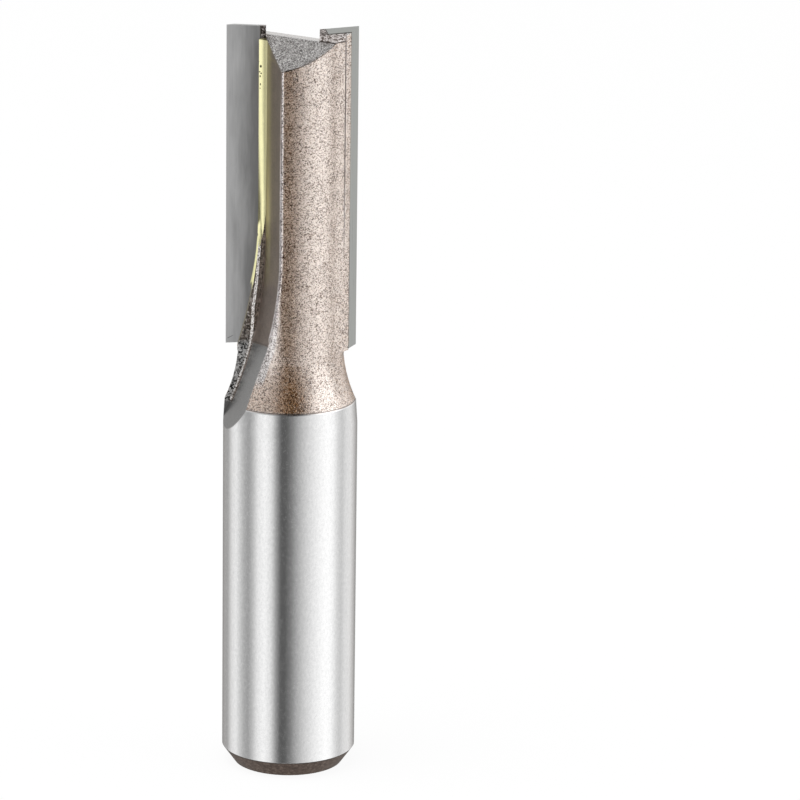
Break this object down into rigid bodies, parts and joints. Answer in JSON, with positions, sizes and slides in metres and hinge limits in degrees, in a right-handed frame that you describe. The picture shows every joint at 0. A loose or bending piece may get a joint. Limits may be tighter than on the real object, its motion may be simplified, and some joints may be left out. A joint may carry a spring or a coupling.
{
  "type": "router bit",
  "caption": "Straight plunge-style router bit: round shank, flared neck and two straight flutes with brazed carbide cutting tips, for cutting grooves and edges in wood.",
  "frame": {"origin": "centre of the shank's flat end", "axes": "+Z along the bit towards the cutting end; the two cutting tips lie on -X and +X, the -X one with its rake face towards -Y"},
  "size_m": [0.0126, 0.0126, 0.0716],
  "materials": {
    "tool_steel": "ground shank, blasted brown-grey body",
    "carbide": "fine ground",
    "braze": "as brazed"
  },
  "bodies": {
    "root": {"steel_body": "tool_steel", "carbide_tip_left": "carbide", "carbide_tip_right": "carbide", "braze_left": "braze", "braze_right": "braze"}
  },
  "joints": []
}
